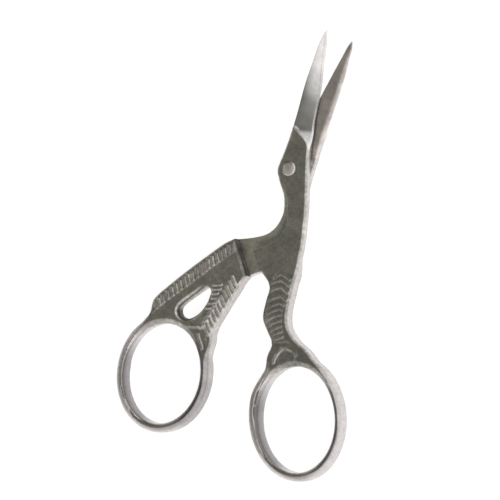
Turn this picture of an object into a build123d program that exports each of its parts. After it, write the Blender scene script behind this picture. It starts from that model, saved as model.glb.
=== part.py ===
from build123d import *
import math
import os

os.makedirs("parts", exist_ok=True)

# Stork embroidery scissors, lying flat with the front half uppermost.
# Millimetres. Origin on the pivot axis in the resting plane, +Z through the
# thickness towards the front face, +Y towards the blade tips.
# The halves are drawn with the blades a little open, which is the rest pose.

# ------------------------------------------------------------- dimensions
T = 3.6                 # thickness of the legs, wing and finger rings
Z_REAR = 1.78           # top of the rear half's thin layer (its rubbing face)
Z_FRONT = 1.83          # bottom of the front half's thin layer

SHANK_R = 1.10          # rivet shank
SHANK_CLEAR = 0.03      # running clearance of the front half on the shank
HEAD_R = 1.48           # rivet head, the stork's eye
HEAD_H = 0.50
HEAD_GAP = 0.03
TAIL_R = 1.60           # countersunk tail, filed flush
TAIL_H = 0.50

# finger rings: centre x, centre y, half width, half length, tilt in degrees
FRONT_RING = (1.01, -48.80, 10.03, 12.47, 6.0)
FRONT_HOLE = (1.34, -49.16, 8.20, 10.36, 3.0)
REAR_RING = (-27.86, -39.82, 10.12, 11.85, -11.4)
REAR_HOLE = (-27.86, -39.92, 8.36, 9.95, -12.0)


def oval(spec, deg):
    """Point of a tilted oval at a parameter angle."""
    cx, cy, a, b, tilt = spec
    t, r = math.radians(deg), math.radians(tilt)
    x, y = a * math.cos(t), b * math.sin(t)
    return (cx + x * math.cos(r) - y * math.sin(r),
            cy + x * math.sin(r) + y * math.cos(r))


def oval_face(spec, grow=0.0):
    cx, cy, a, b, tilt = spec
    return Pos(cx, cy, 0) * Rot(0, 0, tilt) * Ellipse(a + grow, b + grow).face()


# ------------------------------------------------------ front half outline
# spine of the blade, head, throat and breast, down to the breast's corner
FRONT_LEFT = [
    (7.43, 27.03), (6.51, 25.33), (5.23, 21.83), (3.96, 18.28), (2.82, 14.84),
    (1.75, 11.35), (0.63, 7.87), (-0.64, 4.42), (-1.69, 2.07), (-2.22, 0.90),
    (-2.57, -0.36), (-2.39, -1.44), (-2.02, -2.59), (-1.49, -3.76),
    (-0.81, -4.83), (-0.41, -6.05), (-0.27, -7.62), (-0.32, -9.61),
    (-0.64, -11.30), (-1.52, -12.92), (-3.07, -14.22), (-5.37, -15.22),
    (-7.82, -16.07)]
# left edge of the leg, from the breast's corner to the ring
FRONT_LEG_LEFT = [
    (-7.82, -16.07), (-6.92, -18.12), (-5.97, -20.22), (-4.89, -21.65),
    (-4.36, -22.78), (-4.33, -23.73), (-4.72, -24.87), (-5.25, -26.62),
    (-5.69, -28.51), (-5.65, -29.74), (-5.22, -30.82), (-4.40, -32.56),
    (-3.89, -33.71), (-3.85, -34.64), (-4.35, -35.74), (-4.87, -37.01),
    (-5.21, -38.70), (-6.12, -40.22)]
# right edge of the leg, neck and head, then the cutting edge to the tip
FRONT_RIGHT = [
    (7.36, -39.55), (6.18, -38.53), (5.12, -37.58), (4.32, -36.54),
    (3.40, -35.55), (2.31, -34.65), (1.31, -33.70), (0.47, -32.66),
    (-0.15, -31.62), (-0.51, -30.42), (-0.56, -29.31), (-0.42, -27.82),
    (0.05, -25.81), (0.57, -23.85), (1.11, -21.89), (1.76, -19.98),
    (2.21, -18.02), (2.67, -16.08), (3.27, -12.20), (3.66, -8.31),
    (3.83, -4.41), (3.93, -0.61), (4.05, 1.79), (4.25, 4.10), (4.53, 6.29),
    (4.83, 8.70), (5.23, 10.81), (5.81, 13.21), (6.35, 15.70), (6.71, 18.71),
    (7.14, 21.89), (7.44, 24.29), (7.55, 27.02)]
FRONT_JOIN = (148, 390)     # stretch of the ring oval between leg edges

# ------------------------------------------------------- rear half outline
# cutting edge, hidden head, arm and plate, up to the wing's top corner
REAR_LEFT = [
    (12.67, 24.62), (12.08, 23.89), (10.64, 21.59), (9.25, 19.34),
    (7.91, 17.08), (6.56, 14.83), (5.37, 12.64), (4.17, 10.34), (2.96, 8.08),
    (1.67, 6.08), (0.31, 4.13), (-0.73, 2.62), (-1.53, 1.33), (-1.99, 0.35),
    (-2.20, -0.53), (-2.42, -1.52), (-2.57, -2.53), (-2.40, -3.60),
    (-1.95, -4.90), (-1.83, -6.43), (-1.89, -7.89), (-2.32, -9.32),
    (-2.97, -10.46), (-4.04, -11.67), (-5.58, -12.63), (-7.65, -13.15),
    (-9.89, -13.40), (-11.72, -13.50)]
# upper edge of the wing, from its top corner to the ring
REAR_WING = [
    (-11.72, -13.50), (-12.90, -13.89), (-14.75, -14.81), (-17.75, -16.70),
    (-20.79, -18.67), (-23.63, -20.57), (-26.30, -22.49), (-27.87, -23.62),
    (-29.06, -24.60), (-29.77, -25.63), (-30.05, -26.76), (-30.54, -28.06),
    (-31.68, -29.21), (-33.01, -30.21), (-34.37, -31.25)]
# outer edge of the rear leg from the ring up, the plate's lower edge, then
# the hidden arm's right edge and the blade's back
REAR_RIGHT = [
    (-17.72, -36.76), (-17.52, -35.50), (-17.10, -34.39), (-16.86, -33.33),
    (-16.79, -32.33), (-16.54, -31.46), (-16.00, -30.49), (-15.40, -29.58),
    (-14.09, -27.66), (-12.72, -25.67), (-11.32, -23.70), (-10.28, -21.98),
    (-9.29, -20.98)]
REAR_ARM = [
    (-9.29, -20.98), (-7.86, -20.49), (-6.46, -20.19), (-4.97, -19.92),
    (-3.62, -19.27), (-2.27, -17.97), (-1.17, -16.22), (-0.27, -14.42),
    (0.48, -12.62), (1.18, -10.82), (1.75, -8.87), (2.36, -7.03),
    (2.85, -5.12), (3.23, -3.70), (3.63, -2.51), (3.96, -1.38), (4.40, -0.21),
    (4.79, 0.94), (5.56, 3.25), (6.39, 5.55), (7.29, 7.84), (8.21, 10.18),
    (9.10, 12.48), (9.92, 14.85), (10.77, 17.20), (11.47, 19.49),
    (12.23, 21.77), (12.65, 23.07), (12.83, 24.56)]
REAR_JOIN = (151, 376)

# teardrop window in the wing
WINDOW = [
    (-17.89, -23.00), (-18.99, -23.32), (-20.51, -24.26), (-22.11, -25.26),
    (-23.44, -26.15), (-24.24, -27.15), (-23.97, -28.43), (-22.98, -29.05),
    (-21.88, -29.06), (-20.73, -28.61), (-19.39, -27.67), (-18.47, -26.66),
    (-17.80, -25.66), (-17.37, -24.63), (-17.13, -23.62)]

# the wing's wall stands here, proud of the plate
WING_WALL = [(-11.72, -13.50), (-9.29, -20.98)]
# the front leg is full thickness below this line on its back
LEG_STEP = [(-4.27, -23.07), (1.53, -20.92)]


def ring_points(spec, span, count):
    a0, a1 = span
    return [oval(spec, a0 + (a1 - a0) * i / (count - 1)) for i in range(count)]


def plate(edges, z0, z1):
    """A closed loop of edges, extruded from z0 to z1."""
    face = Face(Wire(edges))
    return Pos(0, 0, z0) * extrude(face, amount=z1 - z0, dir=(0, 0, 1))


def region(points, z0, z1):
    face = make_face(Polyline(*points, close=True)).face()
    return Pos(0, 0, z0) * extrude(face, amount=z1 - z0, dir=(0, 0, 1))


def wedge(p, q, r, up):
    """Large block standing on the plane through three points."""
    origin = Vector(*p)
    n = (Vector(*q) - origin).cross(Vector(*r) - origin).normalized()
    if (n.Z > 0) != up:
        n = n * -1
    pl = Plane(origin=origin, z_dir=n)
    return pl * Box(80, 80, 8, align=(Align.CENTER, Align.CENTER, Align.MIN))


# ---------------------------------------------------------------- front half
front_edges = [
    Spline(*FRONT_LEFT),
    Spline(*(FRONT_LEG_LEFT + ring_points(FRONT_RING, FRONT_JOIN, 25)
             + FRONT_RIGHT)),
    Line(FRONT_RIGHT[-1], FRONT_LEFT[0]),
]
(x0, y0), (x1, y1) = LEG_STEP
slope = (y1 - y0) / (x1 - x0)
step_left = (-14.0, y0 + slope * (-14.0 - x0))
step_right = (14.0, y0 + slope * (14.0 - x0))
front_low = region([step_left, step_right, (14, -70), (-14, -70)], 0, Z_FRONT)

front_top = plate(front_edges, Z_FRONT, T)
front_bottom = plate(front_edges, 0, Z_FRONT) & front_low
front_half = front_top + front_bottom
front_half -= extrude(oval_face(FRONT_HOLE), amount=T * 3, both=True)
front_half -= Pos(0, 0, T / 2) * Cylinder(SHANK_R + SHANK_CLEAR, 2 * T)

# the blade's outer face is ground down from the spine to the cutting edge,
# and runs out at the head along a curved scoop
front_grind = wedge((0.0, 7.4, 3.25), (4.9, 8.4, 2.12), (7.55, 26.8, 2.42), True)
front_scoop = region([(-6, 10.7), (0.1, 8.8), (1.6, 7.7), (2.8, 6.7),
                      (3.5, 5.4), (3.9, 3.8), (8, 3.1), (12, 34), (-6, 34)], 0, 8)
front_half -= front_grind & front_scoop

# ----------------------------------------------------------------- rear half
rear_edges = [
    Spline(*REAR_LEFT),
    Spline(*(REAR_WING + ring_points(REAR_RING, REAR_JOIN, 25) + REAR_RIGHT)),
    Spline(*REAR_ARM),
    Line(REAR_ARM[-1], REAR_LEFT[0]),
]
(x0, y0), (x1, y1) = WING_WALL
wall_slope = (x1 - x0) / (y1 - y0)
rear_high = region([(x0 + wall_slope * (-10 - y0), -10), (x1, y1),
                    (x1 + 0.4, y1 - 0.6), (-6, -60), (-45, -60), (-45, -10)],
                   Z_REAR, T)
rear_bottom = plate(rear_edges, 0, Z_REAR)
rear_top = plate(rear_edges, Z_REAR, T) & rear_high
rear_half = rear_bottom + rear_top
rear_half -= extrude(oval_face(REAR_HOLE), amount=T * 3, both=True)
rear_half -= Pos(0, 0, -1) * extrude(
    make_face(Spline(*WINDOW, periodic=True)).face(), amount=T + 2, dir=(0, 0, 1))
rear_half -= Pos(0, 0, T / 2) * Cylinder(SHANK_R, 2 * T)
rear_half -= Pos(0, 0, TAIL_H / 2) * Cone(TAIL_R, SHANK_R, TAIL_H)

rear_grind = wedge((6.6, 6.1, 0.35), (2.2, 7.5, 1.48), (12.8, 24.6, 1.20), False)
rear_scoop = region([(14, 8.1), (7.7, 8.0), (5.9, 7.1), (4.4, 6.2), (2.9, 5.5),
                     (1.1, 4.1), (-2.2, 3.3), (-6, 34), (20, 34)], -8, Z_REAR)
rear_half -= rear_grind & rear_scoop

# --------------------------------------------------------------- pivot rivet
dome_r = (HEAD_R ** 2 + HEAD_H ** 2) / (2 * HEAD_H)
head_z = T + HEAD_GAP
head = Pos(0, 0, head_z + HEAD_H - dome_r) * Sphere(dome_r)
head = head & Pos(0, 0, head_z) * Cylinder(
    HEAD_R, 2 * HEAD_H, align=(Align.CENTER, Align.CENTER, Align.MIN))
shank = Cylinder(SHANK_R, head_z + 0.1, align=(Align.CENTER, Align.CENTER, Align.MIN))
tail = Pos(0, 0, TAIL_H / 2) * Cone(TAIL_R, SHANK_R, TAIL_H)
pivot_rivet = head + shank + tail

# --------------------------------------------------------------------- export
for name, shape in (("front_half", front_half), ("rear_half", rear_half),
                    ("pivot_rivet", pivot_rivet)):
    solids = shape.solids()
    print(name, len(solids), "solid(s), volume",
          round(sum(s.volume for s in solids), 2), "mm3, valid",
          all(s.is_valid for s in solids))
    export_step(solids[0] if len(solids) == 1 else Compound(solids),
                f"parts/{name}.step")
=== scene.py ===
import math

import bpy
import numpy as np
from mathutils import Matrix, Vector
from mathutils.geometry import delaunay_2d_cdt
from mathutils.kdtree import KDTree

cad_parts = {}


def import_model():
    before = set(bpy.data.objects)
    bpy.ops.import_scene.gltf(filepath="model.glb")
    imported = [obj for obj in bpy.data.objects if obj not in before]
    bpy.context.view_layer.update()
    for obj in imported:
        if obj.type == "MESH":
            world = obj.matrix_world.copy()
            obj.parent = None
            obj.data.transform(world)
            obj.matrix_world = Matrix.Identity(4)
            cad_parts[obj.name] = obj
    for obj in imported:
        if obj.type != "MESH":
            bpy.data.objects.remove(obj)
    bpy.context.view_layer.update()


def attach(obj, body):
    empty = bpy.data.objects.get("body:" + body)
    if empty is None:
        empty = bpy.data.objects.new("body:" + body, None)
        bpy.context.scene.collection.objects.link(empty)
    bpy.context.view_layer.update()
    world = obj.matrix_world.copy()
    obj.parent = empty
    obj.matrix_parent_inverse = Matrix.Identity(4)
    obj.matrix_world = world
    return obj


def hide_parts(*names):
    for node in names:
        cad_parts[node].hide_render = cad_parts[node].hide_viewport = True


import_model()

# Stork embroidery scissors. Lengths are in millimetres up to the moment a mesh
# is made; x, y and z are those of the shared frame.
MM = 0.001
T = 3.6                 # thickness of legs, wing and finger rings
Z_REAR = 1.78           # rubbing face of the rear half
Z_FRONT = 1.83          # rubbing face of the front half

FRONT_RING = (1.01, -48.80, 10.03, 12.47, 6.0)
FRONT_HOLE = (1.34, -49.16, 8.20, 10.36, 3.0)
REAR_RING = (-27.86, -39.82, 10.12, 11.85, -11.4)
REAR_HOLE = (-27.86, -39.92, 8.36, 9.95, -12.0)
FRONT_JOIN = (155, 390)
REAR_JOIN = (151, 376)

FRONT_LEFT = [
    (7.43, 27.03), (6.51, 25.33), (5.23, 21.83), (3.96, 18.28), (2.82, 14.84),
    (1.75, 11.35), (0.63, 7.87), (-0.64, 4.42), (-1.69, 2.07), (-2.22, 0.90),
    (-2.57, -0.36), (-2.39, -1.44), (-2.02, -2.59), (-1.49, -3.76),
    (-0.81, -4.83), (-0.41, -6.05), (-0.27, -7.62), (-0.32, -9.61),
    (-0.64, -11.30), (-1.52, -12.92), (-3.07, -14.22), (-5.37, -15.22),
    (-7.82, -16.07)]
FRONT_LEG_LEFT = [
    (-7.82, -16.07), (-6.92, -18.12), (-5.97, -20.22), (-4.89, -21.65),
    (-4.36, -22.78), (-4.33, -23.73), (-4.72, -24.87), (-5.25, -26.62),
    (-5.69, -28.51), (-5.65, -29.74), (-5.22, -30.82), (-4.40, -32.56),
    (-3.89, -33.71), (-3.85, -34.64), (-4.35, -35.74), (-4.87, -37.01),
    (-5.21, -38.70), (-6.12, -40.22)]
FRONT_RIGHT = [
    (7.36, -39.55), (6.18, -38.53), (5.12, -37.58), (4.32, -36.54),
    (3.40, -35.55), (2.31, -34.65), (1.31, -33.70), (0.47, -32.66),
    (-0.15, -31.62), (-0.51, -30.42), (-0.56, -29.31), (-0.42, -27.82),
    (0.05, -25.81), (0.57, -23.85), (1.11, -21.89), (1.76, -19.98),
    (2.21, -18.02), (2.67, -16.08), (3.27, -12.20), (3.66, -8.31),
    (3.83, -4.41), (3.93, -0.61), (4.05, 1.79), (4.25, 4.10), (4.53, 6.29),
    (4.83, 8.70), (5.23, 10.81), (5.81, 13.21), (6.35, 15.70), (6.71, 18.71),
    (7.14, 21.89), (7.44, 24.29), (7.55, 27.02)]

REAR_LEFT = [
    (12.67, 24.62), (12.08, 23.89), (10.64, 21.59), (9.25, 19.34),
    (7.91, 17.08), (6.56, 14.83), (5.37, 12.64), (4.17, 10.34), (2.96, 8.08),
    (1.67, 6.08), (0.31, 4.13), (-0.73, 2.62), (-1.53, 1.33), (-1.99, 0.35),
    (-2.20, -0.53), (-2.42, -1.52), (-2.57, -2.53), (-2.40, -3.60),
    (-1.95, -4.90), (-1.83, -6.43), (-1.89, -7.89), (-2.32, -9.32),
    (-2.97, -10.46), (-4.04, -11.67), (-5.58, -12.63), (-7.65, -13.15),
    (-9.89, -13.40), (-11.72, -13.50)]
REAR_WING = [
    (-11.72, -13.50), (-12.90, -13.89), (-14.75, -14.81), (-17.75, -16.70),
    (-20.79, -18.67), (-23.63, -20.57), (-26.30, -22.49), (-27.87, -23.62),
    (-29.06, -24.60), (-29.77, -25.63), (-30.05, -26.76), (-30.54, -28.06),
    (-31.68, -29.21), (-33.01, -30.21), (-34.37, -31.25)]
REAR_RIGHT = [
    (-17.72, -36.76), (-17.52, -35.50), (-17.10, -34.39), (-16.86, -33.33),
    (-16.79, -32.33), (-16.54, -31.46), (-16.00, -30.49), (-15.40, -29.58),
    (-14.09, -27.66), (-12.72, -25.67), (-11.32, -23.70), (-10.28, -21.98),
    (-9.29, -20.98)]
REAR_ARM = [
    (-9.29, -20.98), (-7.86, -20.49), (-6.46, -20.19), (-4.97, -19.92),
    (-3.62, -19.27), (-2.27, -17.97), (-1.17, -16.22), (-0.27, -14.42),
    (0.48, -12.62), (1.18, -10.82), (1.75, -8.87), (2.36, -7.03),
    (2.85, -5.12), (3.23, -3.70), (3.63, -2.51), (3.96, -1.38), (4.40, -0.21),
    (4.79, 0.94), (5.56, 3.25), (6.39, 5.55), (7.29, 7.84), (8.21, 10.18),
    (9.10, 12.48), (9.92, 14.85), (10.77, 17.20), (11.47, 19.49),
    (12.23, 21.77), (12.65, 23.07), (12.83, 24.56)]
DRAW = (0.33, -0.12)    # the frame's place of the drawing's zero, beside the rivet
WINDOW = [
    (-17.86, -23.04), (-18.94, -23.40), (-20.44, -24.37), (-22.03, -25.38),
    (-23.32, -26.26), (-24.06, -27.18), (-23.84, -28.38), (-22.94, -29.01),
    (-21.88, -29.06), (-20.73, -28.61), (-19.39, -27.67), (-18.47, -26.66),
    (-17.80, -25.66), (-17.37, -24.63), (-17.13, -23.62)]
WING_WALL = [(-11.72, -13.50), (-9.29, -20.98)]
LEG_STEP = [(-4.27, -23.07), (1.53, -20.92)]


# --------------------------------------------------------------- small maths
def smooth(a, b, x):
    t = np.clip((x - a) / (b - a), 0.0, 1.0)
    return t * t * (3 - 2 * t)


def oval(spec, deg):
    cx, cy, a, b, tilt = spec
    t, r = math.radians(deg), math.radians(tilt)
    x, y = a * math.cos(t), b * math.sin(t)
    return (cx + x * math.cos(r) - y * math.sin(r),
            cy + x * math.sin(r) + y * math.cos(r))


def ring_points(spec, span, count=25):
    return [oval(spec, span[0] + (span[1] - span[0]) * i / (count - 1))
            for i in range(count)]


def cubic(points, closed=False, step=0.05):
    """Dense points on the cubic curve through the given ones."""
    p = np.array(points, float)
    if closed:
        p = np.vstack([p, p[:1]])
    t = np.r_[0, np.cumsum(np.linalg.norm(np.diff(p, axis=0), axis=1))]
    n, h = len(t), np.diff(t)
    a, b = np.zeros((n, n)), np.zeros((n, 2))
    for i in range(1, n - 1):
        a[i, i - 1:i + 2] = h[i - 1], 2 * (h[i - 1] + h[i]), h[i]
        b[i] = 6 * ((p[i + 1] - p[i]) / h[i] - (p[i] - p[i - 1]) / h[i - 1])
    if closed:
        a[0, 0], a[0, -1] = 1, -1
        a[-1, 0], a[-1, 1] = 2 * h[0], h[0]
        a[-1, -2], a[-1, -1] = h[-1], 2 * h[-1]
        b[-1] = 6 * ((p[1] - p[0]) / h[0] - (p[-1] - p[-2]) / h[-1])
    else:
        a[0, 0] = a[-1, -1] = 1
    m = np.linalg.solve(a, b)
    u = np.linspace(0, t[-1], max(4, int(math.ceil(t[-1] / step)) + 1))
    i = np.clip(np.searchsorted(t, u, "right") - 1, 0, n - 2)
    hi = h[i][:, None]
    l, r = (t[i + 1] - u)[:, None], (u - t[i])[:, None]
    return (m[i] * l ** 3 + m[i + 1] * r ** 3) / (6 * hi) \
        + (p[i] / hi - m[i] * hi / 6) * l + (p[i + 1] / hi - m[i + 1] * hi / 6) * r


def oval_loop(spec, step=0.05):
    """Clockwise, so that the metal lies on its left."""
    n = int(2 * math.pi * spec[3] / step)
    return np.array([oval(spec, -360.0 * i / n) for i in range(n + 1)])


def resample(dense, step):
    """Points of a dense line, step(x, y) apart; both ends are kept."""
    seg = np.linalg.norm(np.diff(dense, axis=0), axis=1)
    mid = (dense[1:] + dense[:-1]) / 2
    w = np.r_[0, np.cumsum(seg / step(mid[:, 0], mid[:, 1]))]
    n = max(2, int(round(w[-1])) + 1)
    u = np.linspace(0, w[-1], n)
    return np.stack([np.interp(u, w, dense[:, k]) for k in range(2)], 1)


def segment_distance(p, a, b):
    a, b = np.asarray(a, float), np.asarray(b, float)
    ab = b - a
    t = np.clip(((p - a) @ ab) / max(ab @ ab, 1e-12), 0, 1)
    return np.linalg.norm(p - a - t[:, None] * ab, axis=1), t


def line_distance(p, points):
    """(distance, signed side, share along) of points to a short polyline."""
    points = np.asarray(points, float)
    best = np.full(len(p), 1e9)
    side, share = np.zeros(len(p)), np.zeros(len(p))
    lens = np.linalg.norm(np.diff(points, axis=0), axis=1)
    start, total = 0.0, lens.sum()
    for a, b, l in zip(points[:-1], points[1:], lens):
        d, t = segment_distance(p, a, b)
        ab = b - a
        s = ab[0] * (p[:, 1] - a[1]) - ab[1] * (p[:, 0] - a[0])
        near = d < best
        best[near] = d[near]
        side[near] = np.sign(s[near])
        share[near] = (start + t[near] * l) / total
        start += l
    return best, side, share


def ring_left(spec, x, y):
    """1 on the outer left side of a ring, where it is worn flat."""
    return smooth(-1.5, -4.0, x - spec[0]) * smooth(-9.6, -6.5, y - spec[1])


class Edge:
    """A dense boundary line with a rounding's width and height along it."""

    def __init__(self, dense, width, height, crisp=0.25, worn=None, flat=0.60):
        self.crisp, self.flat = crisp, flat
        self.p = np.asarray(dense, float)
        x, y = self.p[:, 0], self.p[:, 1]
        self.w = width(x, y) * np.ones(len(x))
        self.h = height(x, y) * np.ones(len(x))
        self.worn = worn(x, y) if worn else np.zeros(len(x))
        self.tree = KDTree(len(self.p))
        for i, q in enumerate(self.p):
            self.tree.insert((q[0], q[1], 0.0), i)
        self.tree.balance()

    def near(self, p):
        """(distance, index of the nearest dense point)."""
        index = np.array([self.tree.find((q[0], q[1], 0.0))[1] for q in p], int)
        best = np.linalg.norm(p - self.p[index], axis=1)
        for step in (-1, 1):
            j = np.clip(index + step, 0, len(self.p) - 1)
            a, ab = self.p[index], self.p[j] - self.p[index]
            t = np.clip(((p - a) * ab).sum(1) / np.maximum((ab * ab).sum(1), 1e-12), 0, 1)
            best = np.minimum(best, np.linalg.norm(p - a - t[:, None] * ab, axis=1))
        return best, index

    def fall(self, p, reach=None):
        """How far the rounding lies under the flat at these points."""
        d, i = self.near(p)
        flat = self.worn[i]             # 1 where a worn flat borders the rounding
        w, h = self.w[i] - self.flat * flat, self.h[i] - 0.25 * flat
        s = 1 - np.clip(d / w, 0, 1)
        c = self.crisp + 0.25 * flat
        out = h * (c * s + (1 - c) * (1 - np.sqrt(np.maximum(1 - s * s, 0))))
        return out + 0.30 * flat * np.clip(w + self.flat - d, 0, self.flat), d


RNG = np.random.default_rng(41)


def waves(count, shortest, longest):
    """A fixed set of plane waves that add up to an even, random relief."""
    k = 2 * math.pi / np.exp(RNG.uniform(math.log(shortest), math.log(longest), count))
    a = RNG.uniform(0, 2 * math.pi, count)
    return np.stack([k * np.cos(a), k * np.sin(a)], 1), RNG.uniform(0, 2 * math.pi, count)


MOTTLE = waves(28, 0.9, 2.6)
WOBBLE = waves(18, 2.5, 9.0)


def relief(p, kind):
    k, phase = kind
    return np.sin(p @ k.T + phase).sum(1) / math.sqrt(len(phase) / 2)


# ---------------------------------------------------------------- ornament
def bump(d, half):
    """1 on the line, 0 at half and beyond."""
    return np.where(d < half, 0.5 + 0.5 * np.cos(math.pi * np.clip(d / half, 0, 1)), 0.0)


def ends(share, soft=0.18):
    return smooth(0, soft, share) * smooth(0, soft, 1 - share)


def strip(p, line, reach):
    line = np.asarray(line, float)
    return ((p > line.min(0) - reach) & (p < line.max(0) + reach)).all(1)


def shingle(p, line, height, gentle=0.55, steep=0.42, soft=0.2):
    """A feather or scale. Its surface rises gently and falls in a plane flank on
    the left-hand side of the line as drawn; the line is the flank's middle."""
    out = np.zeros(len(p))
    m = strip(p, line, gentle + steep)
    if not m.any():
        return out
    d, side, share = line_distance(p[m], line)
    u = d * side + steep / 2        # 0 where the flank begins
    f = np.where(u < 0, smooth(-gentle, 0.04, u), 1 - np.clip(u / steep, 0, 1))
    beyond = smooth(gentle + steep, 0.75 * (gentle + steep), d)
    out[m] = height * f * ends(share, soft) * beyond
    return out


def ridge(p, line, height, half, soft=0.12):
    out = np.zeros(len(p))
    m = strip(p, line, half)
    if m.any():
        d, _, share = line_distance(p[m], line)
        out[m] = height * bump(d, half) * ends(share, soft)
    return out


# feathers along the wing's upper edge: top end, then lower end of each quill
FEATHERS = [
    ((-12.15, -14.35), (-11.85, -15.95)), ((-13.05, -14.45), (-12.92, -16.35)),
    ((-14.00, -15.00), (-13.80, -16.90)), ((-14.95, -15.40), (-14.55, -17.45)),
    ((-15.80, -15.95), (-15.32, -18.05)), ((-16.75, -16.55), (-16.38, -18.70)),
    ((-17.62, -17.10), (-17.28, -19.25)), ((-18.42, -17.60), (-18.02, -19.85)),
    ((-19.22, -18.10), (-18.82, -20.40)), ((-20.18, -18.70), (-19.78, -21.00)),
    ((-21.12, -19.35), (-20.80, -21.60)), ((-22.05, -19.95), (-21.62, -22.20)),
    ((-22.86, -20.45), (-22.35, -22.75)), ((-23.84, -21.10), (-23.38, -23.30)),
    ((-24.76, -21.75), (-24.24, -23.95)), ((-25.70, -22.45), (-25.18, -24.55)),
    ((-26.66, -23.15), (-26.22, -25.15)), ((-27.66, -23.95), (-27.26, -25.85)),
    ((-28.50, -24.65), (-28.10, -26.45)), ((-29.25, -25.35), (-28.90, -27.05))]
BAND_FOOT = [
    (-10.2, -15.35), (-12.2, -16.15), (-13.5, -16.85), (-15.3, -18.0),
    (-16.5, -18.68), (-18.0, -19.75), (-19.0, -20.42), (-20.2, -21.15),
    (-22.3, -22.62), (-23.4, -23.25), (-25.2, -24.35), (-26.5, -25.12),
    (-27.5, -25.85), (-28.8, -26.85), (-30.6, -28.1)]


UNEVEN = 1 + 0.22 * RNG.uniform(-1, 1, 23)


def wing_relief(p):
    """Height of the wing's and rear leg's dressing above the plain face."""
    z = np.zeros(len(p))
    p = p - DRAW
    m = (p[:, 0] < -9.0) & (p[:, 1] > -38) & (p[:, 0] > -33)
    q = p[m]
    h = np.zeros(len(q))
    # the feathered band stands a little proud of the field under it
    d, side, _ = line_distance(q, BAND_FOOT)
    u = -d * side                       # positive above the line
    h += 0.10 * smooth(-0.20, 0.22, u) * (q[:, 0] < -10.0)
    for i, (a, b) in enumerate(FEATHERS):
        h += shingle(q, [a, b], 0.150 * UNEVEN[i % 23], 0.58, 0.38, 0.12)
    # faint strokes in the field between the feathers and the window
    for x, y, n in ((-12.6, -17.9, 1.5), (-13.9, -18.9, 1.7), (-15.2, -19.7, 1.6),
                    (-13.2, -19.9, 1.3), (-16.6, -20.6, 1.4), (-14.7, -21.0, 1.2)):
        h += shingle(q, [(x - 0.80 * n, y - 0.52 * n), (x, y)], 0.05, 0.5, 0.4, 0.3)
    # short bars beside the window's point
    for y, x0, x1 in ((-22.60, -17.05, -14.55), (-23.44, -17.05, -14.80),
                      (-24.30, -17.1, -15.45), (-25.20, -17.25, -14.85),
                      (-26.15, -17.95, -15.6), (-27.15, -18.6, -16.9)):
        h += shingle(q, [(x1, y + 0.05), (x0, y)], 0.15, 0.42, 0.36, 0.12)
    # scales down the leg's outer side, nicked into its edge
    for i in range(11):
        s = i / 9.0
        x, y = -11.95 - 5.55 * s, -20.75 - 8.75 * s
        h += shingle(q, [(x - 0.55, y + 0.45), (x - 0.15, y - 0.55),
                         (x + 0.30, y - 1.40), (x + 0.80, y - 2.1)],
                             0.185 * UNEVEN[i + 6], 0.50, 0.36, 0.14)
        # slanted ribs on the inner side
        if 4 <= i <= 9:
            h += shingle(q, [(x - 0.75, y - 0.80), (x - 1.5, y - 1.2),
                             (x - 2.2, y - 1.9)], 0.13, 0.40, 0.34, 0.2)
    # gusset over the ring: an arched bar, a hollow below it and a short rib
    h += ridge(q, [(-22.85, -30.72), (-21.9, -30.36), (-20.9, -30.52),
                   (-20.2, -30.42), (-19.2, -30.62)], 0.17, 0.46, 0.1)
    h += ridge(q, [(-20.15, -31.7), (-19.85, -32.9), (-19.30, -34.4),
                   (-19.10, -35.4)], 0.17, 0.42, 0.12)
    hollow = smooth(-30.75, -31.25, q[:, 1]) * smooth(-35.6, -33.6, q[:, 1])
    hollow *= smooth(-18.0, -18.6, q[:, 0]) * smooth(-24.2, -22.2, q[:, 0])
    h -= 0.10 * hollow
    z[m] = h
    return z


RIB_TOPS = [-20.75, -21.95, -23.30, -25.05, -26.40, -27.55, -28.75, -29.90,
            -31.05, -32.15, -33.15]


def leg_ribs():
    """Ribs of the front leg, each drawn from its left end over the middle."""
    ribs = []
    for i, y in enumerate(RIB_TOPS):
        left = float(np.interp(y - 0.9, [-34.5, -32.4, -30.6, -29.0, -26.5, -24.0, -22.6],
                               [-4.2, -4.7, -5.45, -5.8, -5.4, -4.8, -4.7]))
        right = float(np.interp(y, [-33.5, -31.5, -29.5, -27.5, -25.5, -23.5, -21.5],
                                [-1.3, -1.75, -1.85, -1.65, -0.95, -0.55, 0.0]))
        bend = float(np.interp(i, [0, 2, 4, 6, 10], [0.65, 0.80, 1.25, 1.30, 0.95]))
        drop = float(np.interp(i, [0, 2, 4, 6, 10], [1.45, 1.45, 0.85, 0.20, 0.05]))
        xc = float(np.interp(i, [0, 3, 6, 10], [-1.9, -2.1, -2.5, -2.2]))
        if i == 0:
            left = xc - 1.6
        ribs.append([(left - 0.15, y - bend - 0.35), (left + 0.55, y - bend + 0.05),
                     ((left + xc) / 2 + 0.15, y - bend * 0.36),
                     (xc, y), ((xc + right) / 2, y - drop * 0.42),
                     (right, y - drop)])
    return ribs


LEG_RIBS = leg_ribs()


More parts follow.
